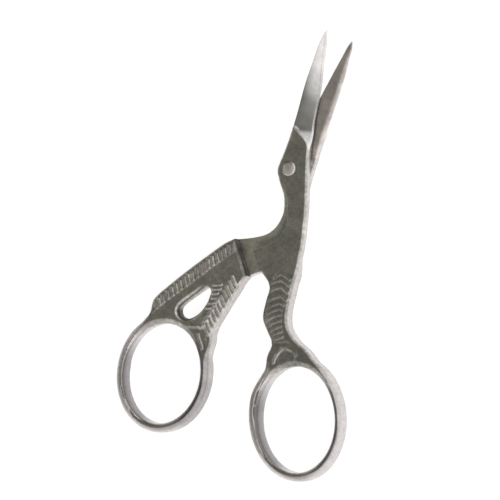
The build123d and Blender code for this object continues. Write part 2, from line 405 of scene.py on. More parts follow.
def front_relief(p):
    z = np.zeros(len(p))
    p = p - DRAW
    m = (p[:, 1] < -20.0) & (p[:, 1] > -41)
    q = p[m]
    h = np.zeros(len(q))
    for rib in LEG_RIBS:
        h += shingle(q, rib[::-1], 0.108, 0.72, 0.42, 0.10)
    # inverted V over the ring, hollow between its branches
    vee = [(-3.70, -38.3), (-3.45, -37.2), (-2.85, -36.2), (-1.95, -35.35),
           (-1.20, -34.75), (-0.45, -35.2), (0.35, -35.55), (1.00, -36.1),
           (1.40, -36.9)]
    h += ridge(q, vee[:5], 0.13, 0.46, 0.1) + ridge(q, vee[4:], 0.10, 0.5, 0.1)
    inside = smooth(-35.2, -36.0, q[:, 1]) * smooth(-3.0, -2.2, q[:, 0])
    inside *= smooth(1.2, 0.5, q[:, 0])
    h -= 0.09 * inside
    h -= 0.07 * ridge(q, [(-3.6, -34.3), (-2.2, -34.2), (-0.2, -34.1)], 1.0, 0.5)
    z[m] = h
    return z


# ------------------------------------------------------------ sheets and walls
def tangents(loop):
    d = np.roll(loop, -1, 0) - np.roll(loop, 1, 0)
    return d / np.maximum(np.linalg.norm(d, axis=1), 1e-12)[:, None]


SHARES = (0.035, 0.135, 0.29, 0.50, 0.66, 0.75, 0.84, 0.92, 1.0)


def sheet(loops, widths, edges, spacing, constraints):
    """Triangles over the plan. loops are the boundaries with the metal on their
    left, the first one outside; widths is the rounding's width at each vertex.
    Returns points, triangles and the index of each loop's vertices."""
    pts, lines, where = [], [], []
    for loop in loops:
        first = len(pts)
        pts += [tuple(q) for q in loop]
        n = len(loop)
        where.append(np.arange(first, first + n))
        lines += [(first + i, first + (i + 1) % n) for i in range(n)]
    for line in constraints:
        first = len(pts)
        pts += [tuple(q) for q in line]
        lines += [(first + i, first + i + 1) for i in range(len(line) - 1)]
    fixed = len(pts)
    cell = 0.25
    taken = {}

    def put(x, y, room):
        cx, cy = int(math.floor(x / cell)), int(math.floor(y / cell))
        reach = int(math.ceil(room / cell))
        for i in range(cx - reach, cx + reach + 1):
            for j in range(cy - reach, cy + reach + 1):
                for u, v, r in taken.get((i, j), ()):
                    if (u - x) ** 2 + (v - y) ** 2 < min(room, r) ** 2:
                        return False
        taken.setdefault((cx, cy), []).append((x, y, room))
        return True

    for line in constraints:
        for q in line:
            put(q[0], q[1], 0.09)

    # strips that follow the boundaries
    cand, depth, room = [], [], []
    for loop, width in zip(loops, widths):
        t = tangents(loop)
        normal = np.stack([-t[:, 1], t[:, 0]], 1)
        step = np.linalg.norm(np.roll(loop, -1, 0) - loop, axis=1)
        for share in SHARES:
            cand.append(loop + normal * (width * share)[:, None])
            depth.append(width * share)
            before = width * max([0.0] + [s for s in SHARES if s < share])
            room.append(np.minimum(0.7 * (width * share - before), 0.6 * step))
    cand, depth, room = np.vstack(cand), np.hstack(depth), np.hstack(room)
    near = np.full(len(cand), 1e9)
    for e in edges:
        near = np.minimum(near, e.near(cand)[0])
    inside = in_loops(cand, loops)
    ok = inside & (near > 0.93 * depth - 1e-4)
    for c in constraints:
        ok &= line_distance(cand, c)[0] > 0.02
    for (x, y), r in zip(cand[ok], room[ok]):
        if put(float(x), float(y), float(r)):
            pts.append((float(x), float(y)))

    # grid of the field, finer where there is ornament
    lo, hi = loops[0].min(0), loops[0].max(0)
    for level, (size, mask) in enumerate(spacing):
        gx, gy = np.arange(lo[0], hi[0], size), np.arange(lo[1], hi[1], size * 0.866)
        X, Y = np.meshgrid(gx, gy)
        X = X + (np.arange(len(gy)) % 2)[:, None] * size / 2
        g = np.stack([X.ravel(), Y.ravel()], 1)
        g = g[mask(g[:, 0], g[:, 1])]
        if not len(g):
            continue
        g = g[in_loops(g, loops)]
        keep = np.ones(len(g), bool)
        for e in edges:
            d, i = e.near(g)
            keep &= d > np.maximum(e.w[i], 0.06) + 0.30 * size
        for c in constraints:
            keep &= line_distance(g, c)[0] > 0.5 * size
        for x, y in g[keep]:
            if put(float(x), float(y), 0.62 * size):
                pts.append((float(x), float(y)))

    out = delaunay_2d_cdt([Vector(q) for q in pts], lines, [], 1, 1e-6, True)
    verts, faces, origins = out[0], out[2], out[3]
    new_of = {}
    for i, names in enumerate(origins):
        for k in names:
            new_of[k] = i
    p = np.array([(v[0], v[1]) for v in verts], float)
    tri = np.array([f for f in faces if len(f) == 3], int)
    # the exact places of the boundary survive the single precision of the call
    for k in range(fixed):
        p[new_of[k]] = pts[k]
    index = [np.array([new_of[k] for k in w], int) for w in where]
    # take out the triangles that lie in a hole or outside the outline
    on_loop = np.full(len(p), -1)
    for n, ids in enumerate(index):
        on_loop[ids] = n
    mark = on_loop[tri]
    suspect = (mark[:, 0] >= 0) & (mark[:, 0] == mark[:, 1]) & (mark[:, 1] == mark[:, 2])
    middle = p[tri].mean(1)
    drop = np.zeros(len(tri), bool)
    for n, loop in enumerate(loops):
        m = suspect & (mark[:, 0] == n)
        if m.any():
            drop[m] = in_polygon(middle[m], loop) != (n == 0)
    tri = tri[~drop]
    a, b, c = p[tri[:, 0]], p[tri[:, 1]], p[tri[:, 2]]
    area = (b[:, 0] - a[:, 0]) * (c[:, 1] - a[:, 1]) - (b[:, 1] - a[:, 1]) * (c[:, 0] - a[:, 0])
    tri[area < 0] = tri[area < 0][:, ::-1]
    used = np.unique(tri)
    renum = np.full(len(p), -1)
    renum[used] = np.arange(len(used))
    return p[used], renum[tri], [renum[i] for i in index]


def in_polygon(p, loop):
    inside = np.zeros(len(p), bool)
    x, y = p[:, 0], p[:, 1]
    a = loop
    b = np.roll(loop, -1, 0)
    for (x0, y0), (x1, y1) in zip(a, b):
        if y0 == y1:
            continue
        m = (y >= min(y0, y1)) & (y < max(y0, y1))
        if m.any():
            inside[m] ^= x[m] < x0 + (y[m] - y0) * (x1 - x0) / (y1 - y0)
    return inside


def in_loops(p, loops):
    m = in_polygon(p, loops[0])
    for loop in loops[1:]:
        m &= ~in_polygon(p, loop)
    return m


def solid(name, loops, top, bottom, top_z, bottom_z, levels, barrel, marks):
    """A closed skin: the upper and lower sheets with a wall between them along
    every loop. marks gives the finish, and the painted light and shade, of each vertex from (x, y, z, face)."""
    pt, tt, it = top
    pb, tb, ib = bottom
    zt, zb = top_z(pt), bottom_z(pb)
    verts = [np.c_[pt, zt], np.c_[pb, zb]]
    side = [np.zeros(len(pt)), np.ones(len(pb))]
    base = len(pt)
    faces = [tt, (tb + base)[:, ::-1]]
    count = len(pt) + len(pb)
    quads = []
    for loop, a, b in zip(loops, it, ib):
        n = len(loop)
        t = tangents(loop)
        out = np.stack([t[:, 1], -t[:, 0]], 1)
        z0, z1 = zt[a], zb[b]
        rows = [a]
        tall = np.clip((z0 - z1) / 1.2, 0, 1)
        for k in range(1, levels):
            f = k / levels
            swell = barrel * 4 * f * (1 - f) * tall
            wave = 0.010 * relief(np.c_[loop[:, 0] * 1.3, loop[:, 1] * 1.3 + 7 * f], MOTTLE) * tall
            q = loop + out * (np.minimum(swell + wave, 0.03) - 0.008)[:, None]
            verts.append(np.c_[q, z0 + (z1 - z0) * f])
            side.append(np.full(n, 0.5))
            rows.append(np.arange(count, count + n))
            count += n
        rows.append(b + base)
        for r0, r1 in zip(rows, rows[1:]):
            nxt0, nxt1 = np.roll(r0, -1), np.roll(r1, -1)
            quads.append(np.stack([r0, r1, nxt1, nxt0], 1))
    v = np.vstack(verts)
    tri = np.vstack(faces)
    quad = np.vstack(quads)
    mesh = bpy.data.meshes.new(name)
    loops_v = np.r_[tri.ravel(), quad.ravel()].astype(np.int32)
    starts = np.r_[np.arange(len(tri)) * 3, len(tri) * 3 + np.arange(len(quad)) * 4].astype(np.int32)
    mesh.vertices.add(len(v))
    mesh.vertices.foreach_set("co", (v * MM).astype(np.float32).ravel())
    mesh.loops.add(len(loops_v))
    mesh.loops.foreach_set("vertex_index", loops_v)
    mesh.polygons.add(len(starts))
    mesh.polygons.foreach_set("loop_start", starts)
    mesh.update(calc_edges=True)
    mesh.validate()
    mesh.polygons.foreach_set("use_smooth", np.ones(len(mesh.polygons), bool))
    mesh.set_sharp_from_angle(angle=math.radians(38))
    for key, value in marks(v, np.hstack(side)).items():
        at = mesh.attributes.new(key, "FLOAT", "POINT")
        at.data.foreach_set("value", value.astype(np.float32))
    obj = bpy.data.objects.new(name, mesh)
    bpy.context.scene.collection.objects.link(obj)
    return obj


# ------------------------------------------------------------------ boundaries
def chain(parts, step):
    """One closed loop from dense open lines joined end to end."""
    out = []
    for part in parts:
        out.append(resample(part, step)[:-1])
    return np.vstack(out)


front_left = cubic(FRONT_LEFT)
front_right = cubic(FRONT_LEG_LEFT + ring_points(FRONT_RING, FRONT_JOIN) + FRONT_RIGHT)
front_tip = np.array([front_right[-1], front_left[0]])
rear_left = cubic(REAR_LEFT)
rear_right = cubic(REAR_WING + ring_points(REAR_RING, REAR_JOIN) + REAR_RIGHT)
rear_arm = cubic(REAR_ARM)
rear_tip = np.array([rear_arm[-1], rear_left[0]])
front_hole = oval_loop(FRONT_HOLE)
rear_hole = oval_loop(REAR_HOLE)
window = cubic(WINDOW, closed=True)[::-1]
if np.cross(window[:-1], window[1:]).sum() > 0:      # clockwise
    window = window[::-1]


def circle(r, n=72):
    return np.array([(r * math.cos(-2 * math.pi * i / n), r * math.sin(-2 * math.pi * i / n))
                     for i in range(n + 1)])


front_bore, rear_bore = circle(1.13), circle(1.10)


# ---------------------------------------------------------------- front half
def front_step(x, y):
    s = np.where(y < -40, 0.34, 0.20)
    s = np.where(y > 9, 0.22, s)
    s = np.where(y > 23.5, 0.12, s)
    return s


def ringness_front(x, y):
    """0 on the leg, 1 on the ring."""
    return smooth(-37.4, -40.5, y)


def front_outer_w(x, y):
    w = 0.40 + (0.55 + 0.25 * smooth(0.0, -3.5, x - FRONT_RING[0])) * ringness_front(x, y)
    w = w - (w - 0.06) * smooth(-1.0, -4.0, y) * smooth(-21.0, -19.0, y)
    return w - (w - 0.05) * smooth(8.0, 9.0, y)


def front_outer_h(x, y):
    h = 0.34 + 0.66 * ringness_front(x, y)
    h = h - (h - 0.03) * smooth(-1.0, -4.0, y) * smooth(-21.0, -19.0, y)
    return h - (h - 0.01) * smooth(8.0, 9.0, y)


def front_cut_w(x, y):
    w = 0.42 + (0.45 + 0.78 * ring_left(FRONT_RING, x, y)) * ringness_front(x, y)
    return w - (w - 0.05) * smooth(3.4, 7.0, y) * (x > 0)


def front_cut_h(x, y):
    h = 0.36 + 0.64 * ringness_front(x, y)
    return h - (h - 0.02) * smooth(3.4, 7.0, y) * (x > 0)


def around(spec, x, y):
    """Direction from a ring's middle, in degrees; 90 is its top."""
    return np.degrees(np.arctan2(y - spec[1], x - spec[0]))


def top_of(spec, x, y):
    """1 at the top of a ring, 0 from 65 degrees to either side of it."""
    return smooth(62, 30, np.abs(around(spec, x, y) - 92))


BEVEL_Y = [6, 10, 14, 17, 22, 27]
BEVEL = [0.16, 0.14, 0.18, 0.30, 0.40, 0.26]
SCOOP_X = [-3.0, -0.3, 0.5, 1.0, 1.6, 2.3, 2.8, 3.3, 3.6, 3.9, 4.3]
SCOOP_Y = [8.9, 8.45, 8.05, 7.7, 7.05, 6.35, 5.8, 5.0, 4.2, 3.0, 1.6]

E_FL = Edge(front_left, front_outer_w, front_outer_h)
E_FR = Edge(front_right, front_cut_w, front_cut_h, 0.3, lambda x, y: ringness_front(x, y)
            * ring_left(FRONT_RING, x, y))
E_FH = Edge(front_hole, lambda x, y: 0.58 + 0.47 * top_of(FRONT_HOLE, x, y),
            lambda x, y: 0.60 + 0.25 * top_of(FRONT_HOLE, x, y), 0.35)
E_FB = Edge(front_bore, lambda x, y: 0.05 + 0 * x, lambda x, y: 0.05 + 0 * x)
FRONT_EDGES = [E_FL, E_FR, E_FH, E_FB]


def front_top_z(p):
    x, y = (p - DRAW).T
    fl, dl = E_FL.fall(p)
    fr, dr = E_FR.fall(p)
    fh, dh = E_FH.fall(p)
    fb, _ = E_FB.fall(p)
    near = np.minimum(np.minimum(dl, dr), dh)
    z = np.full(len(p), T)
    # the forging is pillowed a little towards its edges
    z -= 0.06 * (1 - np.clip(near / 1.6, 0, 1)) ** 2
    body = smooth(-40.0, -38.2, y)
    z += body * (front_relief(p) - 0.04)
    # the blade: a grind from spine to cutting edge that steepens towards the
    # tip, then the narrow bevel
    wide = np.maximum(dl + dr, 1e-6)
    u = dl / wide
    cut = np.interp(y, [3, 12, 16, 24, 27.0], [2.08, 2.08, 1.98, 1.97, 1.95])
    slope = np.interp(y, [3, 8, 10.8, 12.6, 14.2, 16.0, 18.0, 22, 27.0],
                      [0.25, 0.25, 0.258, 0.281, 0.315, 0.358, 0.395, 0.43, 0.42])
    spine = cut + slope * wide
    crown = np.interp(y, [8, 12, 15, 18, 22, 27.0], [0.015, 0.02, 0.055, 0.045, 0.02, 0.0])
    ground = spine + (cut - spine) * u + crown * 4 * u * (1 - u)
    broad = np.interp(y, BEVEL_Y, BEVEL)
    b = np.clip(dr / broad, 0, 1)
    bevel = 1.885 + b * (cut + slope * broad - 1.885)
    ground = np.where(dr < broad, np.minimum(ground, bevel), ground)
    # the scoop between head and grind
    yc = np.interp(x, SCOOP_X, SCOOP_Y)
    yu = np.maximum(7.95, yc + 0.75)
    f = np.clip((y - yc) / (yu - yc), 0, 1)
    cove = T + (np.minimum(ground, T) - T) * (1 - (1 - f) ** 2.0)
    scooped = (y > yc) & (y > 2.0) & (x > -3)
    noise = 0.006 * relief(p, MOTTLE) + 0.012 * relief(p, WOBBLE)
    quiet = smooth(0.0, 0.35, near)
    z += noise * quiet * (1 - smooth(6.5, 8.5, y))
    z = z - np.maximum(np.maximum(fl, fr), fh)
    z = np.where(scooped, np.minimum(z, cove - np.maximum(fl, 0)), z)
    z -= fb
    return np.maximum(z, Z_FRONT + 0.05)


def side_of(line, p):
    (x0, y0), (x1, y1) = line
    n = math.hypot(x1 - x0, y1 - y0)
    return ((x1 - x0) * (p[:, 1] - y0) - (y1 - y0) * (p[:, 0] - x0)) / n


STEP_RISE = 0.25        # how far the steep foot of the leg's step reaches


def front_bottom_z(p):
    x, y = (p - DRAW).T
    fl, dl = E_FL.fall(p)
    fr, dr = E_FR.fall(p)
    fh, dh = E_FH.fall(p)
    near = np.minimum(np.minimum(dl, dr), dh)
    s = side_of(LEG_STEP, p)                    # positive above the step
    fall = np.maximum(np.maximum(fl, fr), fh) * (1 - 0.45 * ringness_front(x, y))
    low = 0.06 * (1 - np.clip(near / 1.6, 0, 1)) ** 2 + fall
    outer = smooth(-1.5, 1.4, x)
    low = np.maximum(low, (0.25 + 0.27 * outer) * (s < 0)
                     * np.clip(1 + s / (0.3 + 2.3 * outer), 0, 1) ** 1.5)
    dressing = smooth(-40.0, -38.2, y) * smooth(-0.5, -1.3, s)
    low -= dressing * (front_relief(p) - 0.19)
    low += 0.010 * (1 + relief(p, MOTTLE)) * smooth(0, 0.35, near) * 0.5
    # a short steep foot, then a slope that is long on the outer side only
    soft = smooth(-3.4, 1.2, x)
    first = Z_FRONT * (1 - 0.74 * soft)
    first = first + (0.62 - first) * outer
    long = STEP_RISE + 0.01 + 1.35 * soft + 1.5 * outer
    t = np.clip((s - STEP_RISE) / (long - STEP_RISE), 0, 1)
    t = 0.5 * np.sin(t * math.pi / 2) + 0.5 * t * t * (3 - 2 * t)
    high = first + (Z_FRONT - first) * t
    start = 0.25 + 0.27 * outer
    high = np.where(s < STEP_RISE, start + (first - start) * np.clip(s / STEP_RISE, 0, 1), high)
    high = high + 0.25 * np.maximum(fl, fr) * smooth(10, 8, y)
    return np.maximum(np.where(s > 0, high, np.maximum(low, 0.0)), 0.0)


def cross_loop(loop, line):
    """Where an endless line cuts a loop: [(index before, point)]."""
    (x0, y0), (x1, y1) = line
    d = (x1 - x0) * (loop[:, 1] - y0) - (y1 - y0) * (loop[:, 0] - x0)
    nxt = np.roll(d, -1)
    found = []
    for i in np.flatnonzero(np.sign(d) * np.sign(nxt) < 0):
        t = d[i] / (d[i] - nxt[i])
        found.append((int(i), loop[i] + t * (loop[(i + 1) % len(loop)] - loop[i])))
    return found


def add_vertices(loop, points):
    """The loop with more vertices, each on the edge it lies nearest."""
    loop = [tuple(q) for q in loop]
    for q in points:
        a = np.array(loop)
        b = np.roll(a, -1, 0)
        ab = b - a
        t = np.clip(((q - a) * ab).sum(1) / np.maximum((ab * ab).sum(1), 1e-12), 0, 1)
        i = int(np.argmin(np.linalg.norm(q - a - t[:, None] * ab, axis=1)))
        loop.insert(i + 1, tuple(q))
    return np.array(loop)


def clear_near(loop, points, room):
    """Drops loop vertices that sit too close to the given points."""
    keep = np.ones(len(loop), bool)
    for q in points:
        keep &= np.linalg.norm(loop - q, axis=1) > room
    return loop[keep]


front_loop = chain([front_left, front_right, front_tip], front_step)

# where the leg's back steps down to the rubbing face
(sx0, sy0), (sx1, sy1) = LEG_STEP
STEP_NORMAL = np.array([-(sy1 - sy0), sx1 - sx0]) / math.hypot(sx1 - sx0, sy1 - sy0)
step_lines = []
near_leg = lambda q: -7 < q[0] < 4 and -26 < q[1] < -18
lines2 = [np.array(LEG_STEP) + STEP_NORMAL * off for off in (0.0, STEP_RISE)]
cuts = []
for line in lines2:
    cuts.append([q for _, q in cross_loop(front_loop, [tuple(line[0]), tuple(line[1])]) if near_leg(q)])
flat = [q for pair in cuts for q in pair]
front_loop = clear_near(front_loop, flat, 0.09)
front_loop = add_vertices(front_loop, flat)
for pair in cuts:
    a, b = sorted(pair, key=lambda q: q[0])
    n = 24
    step_lines.append(np.array([a + (b - a) * i / n for i in range(n + 1)]))


def front_loops():
    hole = resample(front_hole, lambda x, y: 0.36 + 0 * x)[:-1]
    bore = front_bore[:-1]
    return [front_loop, hole, bore]


def widths_of(loops, edges):
    """The rounding's width at each loop vertex, from the edge it lies on."""
    out = []
    for loop in loops:
        best, width = np.full(len(loop), 1e9), np.zeros(len(loop))
        for e in edges:
            d, i = e.near(loop)
            m = d < best - 1e-4
            width[m], best[m] = e.w[i][m], d[m]
        out.append(width)
    return out


FL = front_loops()
FW = widths_of(FL, FRONT_EDGES)
leg_zone = lambda x, y: (y < -20.8) & (y > -39.2)
scoop_zone = lambda x, y: (y > 2.0) & (y < 9.6) & (x > -1.0)
front_top_sheet = sheet(
    FL, FW, FRONT_EDGES,
    [(0.115, leg_zone), (0.14, scoop_zone), (0.13, lambda x, y: y >= 9.3),
     (0.17, lambda x, y: (y < -40.0) & (x < 1.5)),
     (0.34, lambda x, y: y < 100)], [])
front_bottom_sheet = sheet(
    FL, FW, FRONT_EDGES,
    [(0.15, lambda x, y: (y < -18.4) & (y > -39.2)), (0.45, lambda x, y: y < 100)],
    step_lines)


def ring_inner_painted_shade(spec, x, y, d, z, width, thin=0.30):
    """Painted shade on a ring's inner side, which little light reaches but at the top."""
    ang = around(spec, x, y)
    off = np.abs((ang - 92 + 180) % 360 - 180)          # from the ring's top
    low = np.abs((ang + 90 + 180) % 360 - 180)          # from its bottom
    depth = np.clip((T - z) / T, 0, 1)
    left = smooth(-1.0, -5.0, x - spec[0])
    under = smooth(-88, -60, ang) * smooth(5, -25, ang)      # lower right
    width = width * (1.30 - thin * left + 0.55 * under)
    inner = smooth(1.05 * width, 0.75 * width, d)
    t = 0.40 - (0.08 - 0.20 * smooth(0.05, 0.75, depth)) * left
    t = t + (1.00 - t) * smooth(32, 6, low)
    t = 1 - (1 - t) * smooth(28, 75, off)
    return 1 - (1 - t) * inner


def smooth_line_and_painted_highlight(spec, x, y, d, place):
    """Mask of the bright line along a ring's outer left side: lower roughness there, and a painted highlight
    in the tone.
    """
    turn = np.abs((around(spec, x, y) - 198 + 180) % 360 - 180)
    return smooth(82, 50, turn) * smooth(0.42, 0.26, np.abs(d - place))


def front_marks(v, side):
    p, z = v[:, :2], v[:, 2]
    x, y = (p - DRAW).T
    top, under = side < 0.25, side > 0.75
    wall = ~top & ~under
    yc = np.interp(x, SCOOP_X, SCOOP_Y)
    polish = smooth(-0.1, 0.5, y - yc) * (x > -3) * (y > 2)
    polish = np.where(under, 0.0, polish)
    inner = under & (side_of(LEG_STEP, p) > 1.0)
    tone = np.ones(len(v))
    # hollows keep their tarnish, high places are rubbed bright
    r = front_relief(p)
    worn = ((y < -20.5) & (y > -39.0)) & (top | under)
    tone *= np.where(worn, 0.80 + 0.22 * smooth(0.0, 0.12, r), 1.0)
    dh = E_FH.near(p)[0]
    # painted shade on the ring's inner side
    tone *= ring_inner_painted_shade(FRONT_HOLE, p[:, 0], p[:, 1], dh, z, 0.60)
    dr = E_FR.near(p)[0]
    line = smooth_line_and_painted_highlight(FRONT_HOLE, p[:, 0], p[:, 1], dr, 1.35) * top
    # painted highlight along the ring's outer left side
    tone *= 1 + 0.25 * line
    # painted shade on the outer part of the ring's left rounding
    tone *= 1 - 0.27 * top * ring_left(FRONT_RING, x, y) * smooth(0.64, 0.50, dr)
    ring = smooth(-38.6, -41.0, y)
    # painted shade: outer walls darken a little towards the table
    tone *= np.where(wall & (dh > 1), 0.96 - 0.08 * smooth(1.4, 0.2, z) * (y < -22), 1.0)
    # the scoop is duller than the ground face
    dull = top * smooth(-0.3, 0.15, y - yc) * smooth(9.0, 7.4, y) * (x > -3) * (y > 2)
    dull *= 1 - 0.9 * smooth(0.55, 0.15, dr)
    tone *= 1 - (0.26 + 0.36 * smooth(3.0, 0.4, x) + 0.22 * smooth(1.5, 0.5, x)) * dull
    # the ground face: painted light and shade, darker towards its spine and root, and a painted dark line at
    # the bevel
    dl = E_FL.near(p)[0]
    blade = top & (y > 7.4) & (y > yc)
    u = dl / np.maximum(dl + dr, 1e-6)
    at = [8, 12.2, 13.8, 15.4, 18, 21, 26]
    back = np.interp(y, at, [0.86, 0.74, 0.56, 0.56, 0.70, 0.92, 1.10])
    mid = np.interp(y, at, [0.90, 0.80, 0.70, 0.76, 0.82, 0.98, 1.10])
    front_side = np.interp(y, at, [0.84, 0.86, 0.86, 0.88, 0.97, 1.05, 1.10])
    across = np.where(u < 0.45, back + (mid - back) * u / 0.45,
                      mid + (front_side - mid) * (u - 0.45) / 0.55)
    tone = np.where(blade, tone * (1 + (across - 1) * smooth(7.4, 9.0, y)), tone)
    bev = np.interp(y, BEVEL_Y, BEVEL)
    tone *= np.where(blade & (dr < bev), np.interp(y, [6.5, 8.5, 13.0, 15.0], [1.0, 0.50, 0.50, 1.0]), 1.0)
    tone *= np.where(blade, 1 - 0.22 * bump(np.abs(dr - bev - 0.06), 0.16)
                     * smooth(9.0, 11.0, y), 1.0)
    clean = np.clip(ring + 0.8 * wall * (dh > 1), 0, 1)
    tone *= 1 + 0.06 * relief(p, WOBBLE) * (1 - 0.6 * clean)
    return {"polish": polish, "inner": inner * 1.0, "clean": clean, "line": line,
            "tone": np.clip(tone, 0.05, 1.5)}


front = solid("front_half_forging", FL, front_top_sheet, front_bottom_sheet,
              front_top_z, front_bottom_z, 6, 0.02, front_marks)


# ----------------------------------------------------------------- rear half
def rear_step(x, y):
    s = np.where((y < -33) & (x < -17.5), 0.34, 0.20)
    s = np.where(y > 22.5, 0.12, s)
    return s


def ringness_rear(x, y):
    left = smooth(-28.6, -32.0, y) * (x < -26)
    right = smooth(-35.4, -37.8, y) * (x >= -26)
    return left + right


def rear_w(x, y):
    return 0.38 + (0.50 + 0.57 * ring_left(REAR_RING, x, y)) * ringness_rear(x, y)


def rear_h(x, y):
    return 0.32 + 0.66 * ringness_rear(x, y)


def arm_w(x, y):
    return 0.35 + 0.55 * smooth(1, 7, y) - 0.55 * smooth(18, 24.3, y)


def arm_h(x, y):
    return 0.26 + 0.32 * smooth(1, 7, y) - 0.40 * smooth(18, 24.3, y)


E_RL = Edge(rear_left, lambda x, y: 0.22 - 0.17 * smooth(0, 4, y), lambda x, y: 0.12 - 0.10 * smooth(0, 4, y))
E_RR = Edge(rear_right, rear_w, rear_h, 0.3, lambda x, y: ringness_rear(x, y)
            * ring_left(REAR_RING, x, y), 0.40)
E_RA = Edge(rear_arm, arm_w, arm_h, 0.1)
E_RH = Edge(rear_hole, lambda x, y: 0.55 + 0.50 * top_of(REAR_HOLE, x, y)
            - 0.22 * ring_left(REAR_RING, x, y) * (1 - top_of(REAR_HOLE, x, y)),
            lambda x, y: 0.60 + 0.25 * top_of(REAR_HOLE, x, y), 0.35)
E_RW = Edge(window, lambda x, y: 0.50 + 0 * x, lambda x, y: 0.62 + 0 * x)
E_RW.turn = (lambda d: d[:, 0] / np.maximum(np.linalg.norm(d, axis=1), 1e-9))(
    np.roll(E_RW.p[:-1], -3, 0) - np.roll(E_RW.p[:-1], 3, 0))      # 1: wall faces -Y
E_RB = Edge(rear_bore, lambda x, y: 0.05 + 0 * x, lambda x, y: 0.05 + 0 * x)
REAR_EDGES = [E_RL, E_RR, E_RA, E_RH, E_RW, E_RB]
WALL_TOP, WALL_FOOT = WING_WALL


def high_side(p):
    """Positive on the wing's side of its wall, in millimetres."""
    s = -side_of(WING_WALL, p)
    s = np.where(p[:, 1] < WALL_FOOT[1], 5.0, s)
    return np.where(p[:, 1] > WALL_TOP[1] + 0.6, -5.0, s)


def rim_fall(dw, x):
    """The window's rim: a shallow slope, then a steep lip. The slope runs out
    beside the short bars."""
    open_side = smooth(-18.6, -20.4, x)
    return 0.19 * open_side * np.clip((0.74 - dw) / 0.38, 0, 1) \
        + 0.75 * np.clip((0.34 - dw) / 0.34, 0, 1) ** 1.4


REAR_SCOOP_X = [-2.5, 0.8, 2.6, 4.1, 5.6, 7.4, 14]
REAR_SCOOP_Y = [3.4, 4.2, 5.6, 6.3, 7.2, 8.1, 8.2]


def rear_top_z(p):
    x, y = (p - DRAW).T
    fl, dl = E_RL.fall(p)
    fr, dr = E_RR.fall(p)
    fa, da = E_RA.fall(p)
    fh, dh = E_RH.fall(p)
    dw = E_RW.near(p)[0]
    fb, _ = E_RB.fall(p)
    s = high_side(p)
    wing = s > 0
    wall = np.where((p[:, 1] > WALL_FOOT[1]) & wing, np.clip(s, 0, 9), 9)
    near = np.minimum(np.minimum(dr, dh), np.minimum(dw, wall))
    w = 1 - np.clip(wall / 0.62, 0, 1)
    fwall = 0.36 * (0.5 * w + 0.5 * (1 - np.sqrt(np.maximum(1 - w * w, 0))))
    upper = T - 0.06 * (1 - np.clip(near / 1.6, 0, 1)) ** 2
    dress = smooth(-38.0, -36.8, y) * smooth(0.1, 0.5, wall)
    upper = upper + dress * (wing_relief(p) - 0.07)
    upper += (0.007 * relief(p, MOTTLE) + 0.010 * relief(p, WOBBLE)) * smooth(0, 0.35, near)
    upper -= np.maximum(np.maximum(fr, fh), np.maximum(rim_fall(dw, x), fwall))
    lower = np.full(len(p), Z_REAR)
    lower -= np.maximum(fl, fa)
    # hollow of the blade's inner face
    u = dl / np.maximum(dl + da, 1e-6)
    lower -= 0.035 * 4 * u * (1 - u) * smooth(3, 7, y)
    lower -= 0.004 * (1 + relief(p, MOTTLE)) * smooth(0.0, 0.4, np.minimum(dl, da))
    lower -= fb
    return np.where(wing, upper, lower)


def rear_bottom_z(p):
    x, y = (p - DRAW).T
    fl, dl = E_RL.fall(p)
    fr, dr = E_RR.fall(p)
    fa, da = E_RA.fall(p)
    fh, dh = E_RH.fall(p)
    dw = E_RW.near(p)[0]
    near = np.minimum(np.minimum(dr, dh), np.minimum(dw, np.minimum(da, dl)))
    body = smooth(7.5, 5.5, y)
    edge = 0.32 * (1 - np.clip(np.minimum(dl, da) / 0.40, 0, 1)) ** 2 * body
    low = 0.06 * (1 - np.clip(near / 1.6, 0, 1)) ** 2
    fr = fr * (1 - 0.45 * ringness_rear(x, y))
    low += np.maximum(np.maximum(fr, 0.6 * fh), np.maximum(rim_fall(dw, x), edge))
    dress = smooth(-38.0, -36.8, y) * smooth(-10.5, -11.5, x)
    low -= dress * (wing_relief(p) - 0.29)
    low += 0.005 * (1 + relief(p, MOTTLE)) * smooth(0, 0.35, near)
    # countersink for the rivet's tail
    r = np.hypot(p[:, 0], p[:, 1])
    low = np.maximum(low, 0.5 * (1 - (r - 1.10) / 0.5))
    # the rear blade is ground on this side
    u = da / np.maximum(dl + da, 1e-6)
    spine = np.interp(y, [2, 6, 10, 14, 18, 22, 24.6], [0.44, 0.46, 0.50, 0.46, 0.58, 0.92, 1.34])
    cut = np.interp(y, [2, 22, 24.6], [1.44, 1.44, 1.56])
    ground = spine + (cut - spine) * u - 0.035 * 4 * u * (1 - u)
    bevel = 1.725 - np.clip(dl / 0.25, 0, 1) * (1.725 - cut + 0.05)
    ground = np.where(dl < 0.25, np.maximum(ground, bevel), ground)
    lx = np.interp(x, REAR_SCOOP_X, REAR_SCOOP_Y)
    f = np.clip((y - lx) / 1.6, 0, 1)
    cove = ground * (1 - (1 - f) ** 2)
    scooped = y > lx
    low = np.where(scooped, np.maximum(low * body, cove), low)
    low = np.where(scooped, np.maximum(low, 0.10 * (1 - np.clip(da / 0.12, 0, 1)) + cove), low)
    return np.clip(low, 0.0, Z_REAR - 0.04)


